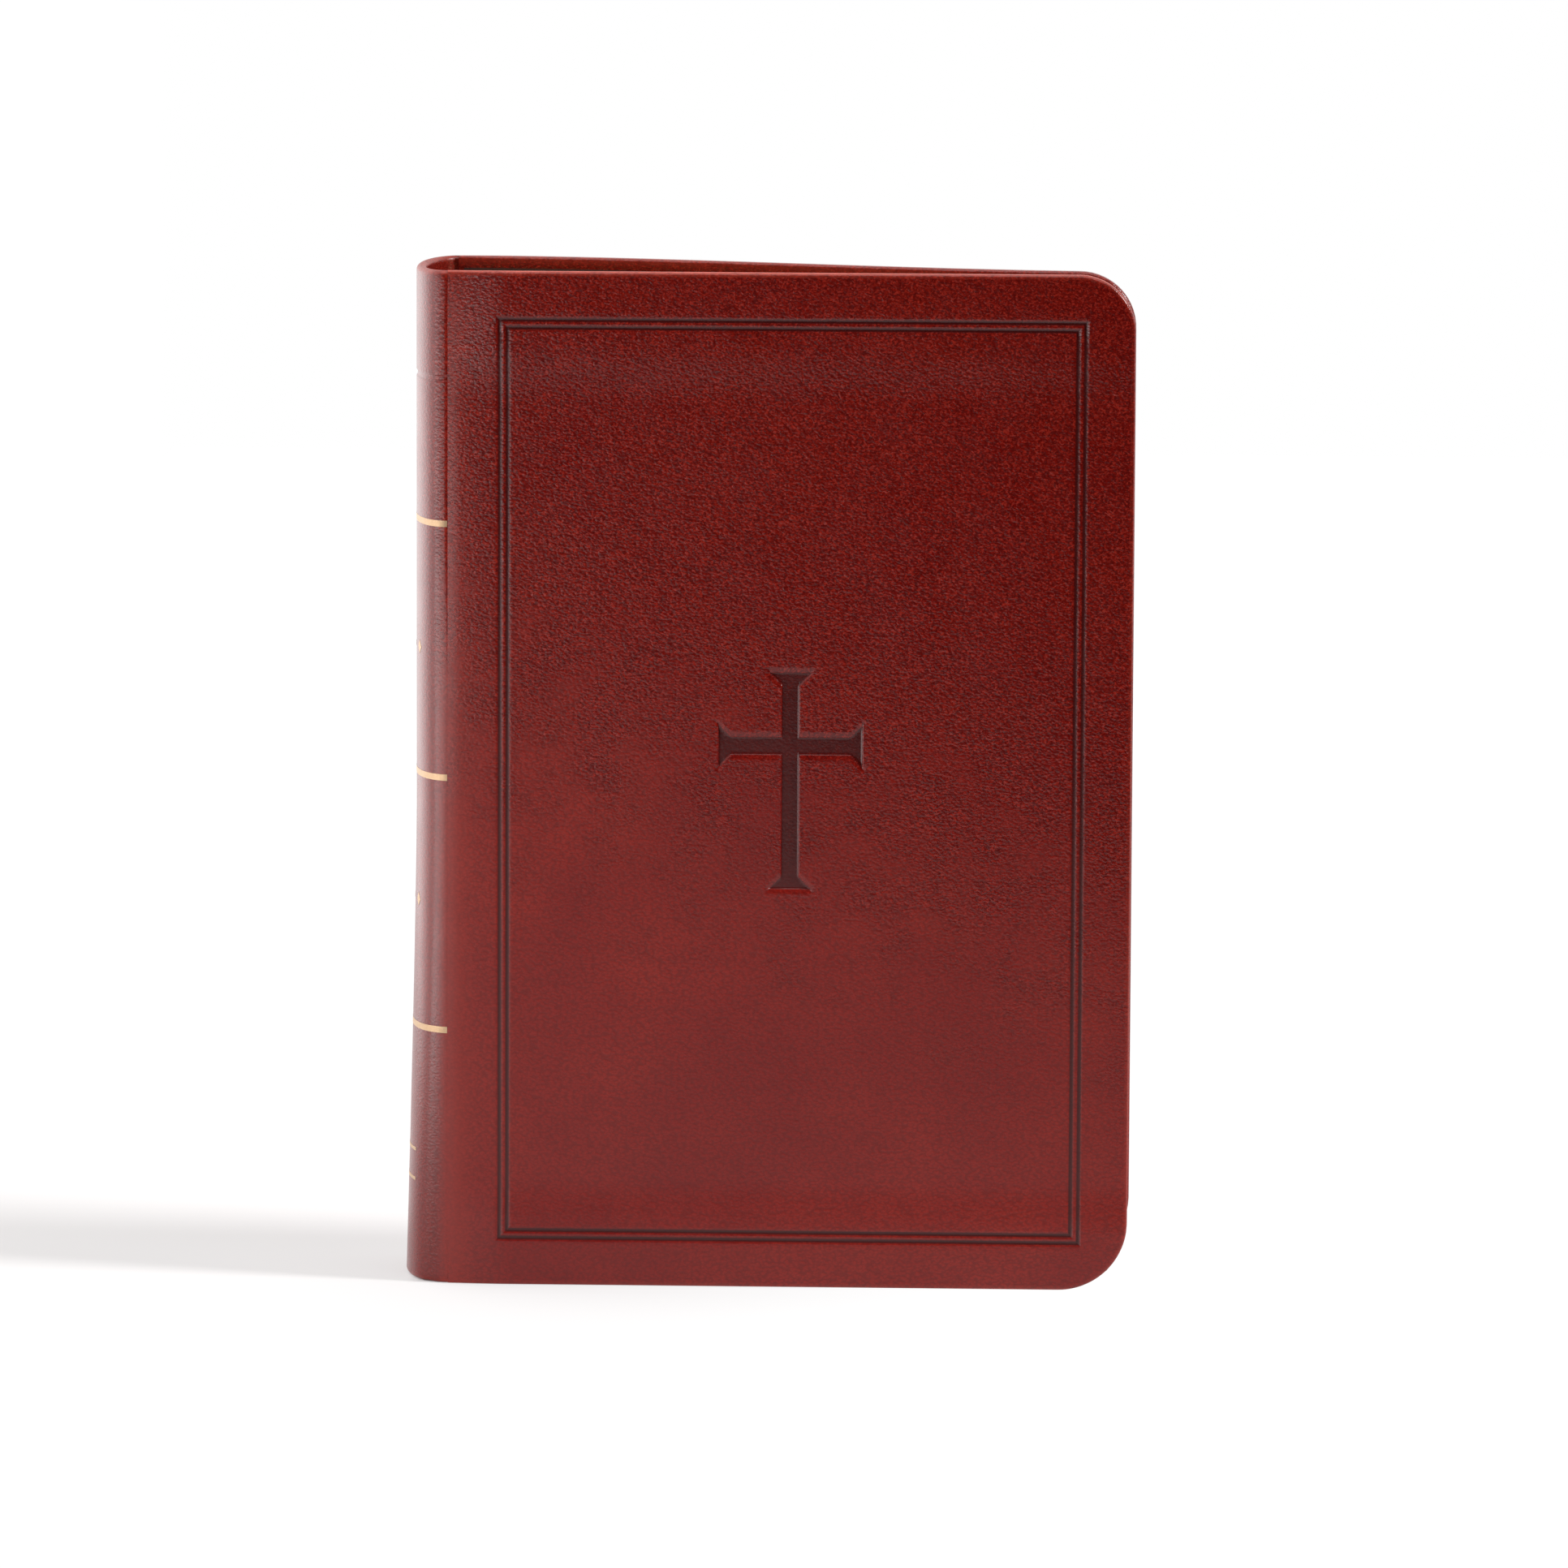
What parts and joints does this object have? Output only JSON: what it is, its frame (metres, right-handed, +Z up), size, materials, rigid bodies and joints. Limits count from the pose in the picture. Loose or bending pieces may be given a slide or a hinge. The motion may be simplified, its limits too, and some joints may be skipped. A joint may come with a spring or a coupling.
{
  "type": "prayer book",
  "caption": "Compact leather-bound prayer book standing on its tail, with rounded spine, blind-tooled front cover, opening covers and turning leaf sections.",
  "frame": {"origin": "centre of the footprint of the closed book, on the surface that its tail edge stands on", "axes": "+Z up from tail to head, +X from spine to fore-edge, -Y out of the front cover and +Y out of the back cover"},
  "size_m": [0.121, 0.029, 0.17],
  "materials": {
    "cover_leather": "semi-gloss pebbled",
    "board": "matte",
    "endpaper": "satin",
    "hinge_cloth": "matte",
    "spine_paper": "matte",
    "gold_foil": "polished",
    "thread": "matte",
    "headband": "woven",
    "pages": "matte"
  },
  "bodies": {
    "root": {"spine_leather": "cover_leather", "spine_stiffener": "spine_paper", "gilt_bands": "gold_foil", "gilt_ornaments": "gold_foil", "spine_liner": "spine_paper", "spine_mull": "hinge_cloth", "sewing_thread": "thread", "headband": "headband", "tailband": "headband", "front_joint_leather": "cover_leather", "back_joint_leather": "cover_leather", "front_leaves_7": "pages", "back_leaves_7": "pages"},
    "front_cover": {"front_cover_leather": "cover_leather", "front_board": "board", "front_pastedown": "endpaper", "front_hinge_cloth": "hinge_cloth"},
    "front_flyleaf_sheet": {"front_flyleaf": "endpaper"},
    "front_section_1": {"front_leaves_1": "pages"},
    "front_section_2": {"front_leaves_2": "pages"},
    "front_section_3": {"front_leaves_3": "pages"},
    "front_section_4": {"front_leaves_4": "pages"},
    "front_section_5": {"front_leaves_5": "pages"},
    "front_section_6": {"front_leaves_6": "pages"},
    "back_cover": {"back_cover_leather": "cover_leather", "back_board": "board", "back_pastedown": "endpaper", "back_hinge_cloth": "hinge_cloth"},
    "back_flyleaf_sheet": {"back_flyleaf": "endpaper"},
    "back_section_1": {"back_leaves_1": "pages"},
    "back_section_2": {"back_leaves_2": "pages"},
    "back_section_3": {"back_leaves_3": "pages"},
    "back_section_4": {"back_leaves_4": "pages"},
    "back_section_5": {"back_leaves_5": "pages"},
    "back_section_6": {"back_leaves_6": "pages"}
  },
  "joints": [
    {"name": "front_cover_hinge", "type": "hinge", "parent": "root", "child": "front_cover", "pos_m": [-0.0535, -0.0147, 0.085], "axis": [0, 0, -1], "range_deg": [0, 179], "deforming": ["front_joint_leather"]},
    {"name": "front_flyleaf_sheet_turn", "type": "hinge", "parent": "root", "child": "front_flyleaf_sheet", "pos_m": [-0.0525, -0.012, 0.085], "axis": [0, 0, -1], "range_deg": [0, 100.24]},
    {"name": "front_section_1_turn", "type": "hinge", "parent": "root", "child": "front_section_1", "pos_m": [-0.0525, -0.012, 0.085], "axis": [0, 0, -1], "range_deg": [0, 75.18]},
    {"name": "front_section_2_turn", "type": "hinge", "parent": "root", "child": "front_section_2", "pos_m": [-0.0525, -0.012, 0.085], "axis": [0, 0, -1], "range_deg": [0, 62.65]},
    {"name": "front_section_3_turn", "type": "hinge", "parent": "root", "child": "front_section_3", "pos_m": [-0.0525, -0.012, 0.085], "axis": [0, 0, -1], "range_deg": [0, 50.12]},
    {"name": "front_section_4_turn", "type": "hinge", "parent": "root", "child": "front_section_4", "pos_m": [-0.0525, -0.012, 0.085], "axis": [0, 0, -1], "range_deg": [0, 37.59]},
    {"name": "front_section_5_turn", "type": "hinge", "parent": "root", "child": "front_section_5", "pos_m": [-0.0525, -0.012, 0.085], "axis": [0, 0, -1], "range_deg": [0, 25.06]},
    {"name": "front_section_6_turn", "type": "hinge", "parent": "root", "child": "front_section_6", "pos_m": [-0.0525, -0.012, 0.085], "axis": [0, 0, -1], "range_deg": [0, 12.53]},
    {"name": "back_cover_hinge", "type": "hinge", "parent": "root", "child": "back_cover", "pos_m": [-0.0535, 0.0147, 0.085], "axis": [0, 0, 1], "range_deg": [0, 179], "deforming": ["back_joint_leather"]},
    {"name": "back_flyleaf_sheet_turn", "type": "hinge", "parent": "root", "child": "back_flyleaf_sheet", "pos_m": [-0.0525, 0.012, 0.085], "axis": [0, 0, 1], "range_deg": [0, 100.24]},
    {"name": "back_section_1_turn", "type": "hinge", "parent": "root", "child": "back_section_1", "pos_m": [-0.0525, 0.012, 0.085], "axis": [0, 0, 1], "range_deg": [0, 75.18]},
    {"name": "back_section_2_turn", "type": "hinge", "parent": "root", "child": "back_section_2", "pos_m": [-0.0525, 0.012, 0.085], "axis": [0, 0, 1], "range_deg": [0, 62.65]},
    {"name": "back_section_3_turn", "type": "hinge", "parent": "root", "child": "back_section_3", "pos_m": [-0.0525, 0.012, 0.085], "axis": [0, 0, 1], "range_deg": [0, 50.12]},
    {"name": "back_section_4_turn", "type": "hinge", "parent": "root", "child": "back_section_4", "pos_m": [-0.0525, 0.012, 0.085], "axis": [0, 0, 1], "range_deg": [0, 37.59]},
    {"name": "back_section_5_turn", "type": "hinge", "parent": "root", "child": "back_section_5", "pos_m": [-0.0525, 0.012, 0.085], "axis": [0, 0, 1], "range_deg": [0, 25.06]},
    {"name": "back_section_6_turn", "type": "hinge", "parent": "root", "child": "back_section_6", "pos_m": [-0.0525, 0.012, 0.085], "axis": [0, 0, 1], "range_deg": [0, 12.53]}
  ],
  "couplings": [
    {"joint": "front_flyleaf_sheet_turn", "follows": "front_cover_hinge", "ratio": 0.56},
    {"joint": "front_section_1_turn", "follows": "front_cover_hinge", "ratio": 0.42},
    {"joint": "front_section_2_turn", "follows": "front_cover_hinge", "ratio": 0.35},
    {"joint": "front_section_3_turn", "follows": "front_cover_hinge", "ratio": 0.28},
    {"joint": "front_section_4_turn", "follows": "front_cover_hinge", "ratio": 0.21},
    {"joint": "front_section_5_turn", "follows": "front_cover_hinge", "ratio": 0.14},
    {"joint": "front_section_6_turn", "follows": "front_cover_hinge", "ratio": 0.07},
    {"joint": "back_flyleaf_sheet_turn", "follows": "back_cover_hinge", "ratio": 0.56},
    {"joint": "back_section_1_turn", "follows": "back_cover_hinge", "ratio": 0.42},
    {"joint": "back_section_2_turn", "follows": "back_cover_hinge", "ratio": 0.35},
    {"joint": "back_section_3_turn", "follows": "back_cover_hinge", "ratio": 0.28},
    {"joint": "back_section_4_turn", "follows": "back_cover_hinge", "ratio": 0.21},
    {"joint": "back_section_5_turn", "follows": "back_cover_hinge", "ratio": 0.14},
    {"joint": "back_section_6_turn", "follows": "back_cover_hinge", "ratio": 0.07}
  ]
}
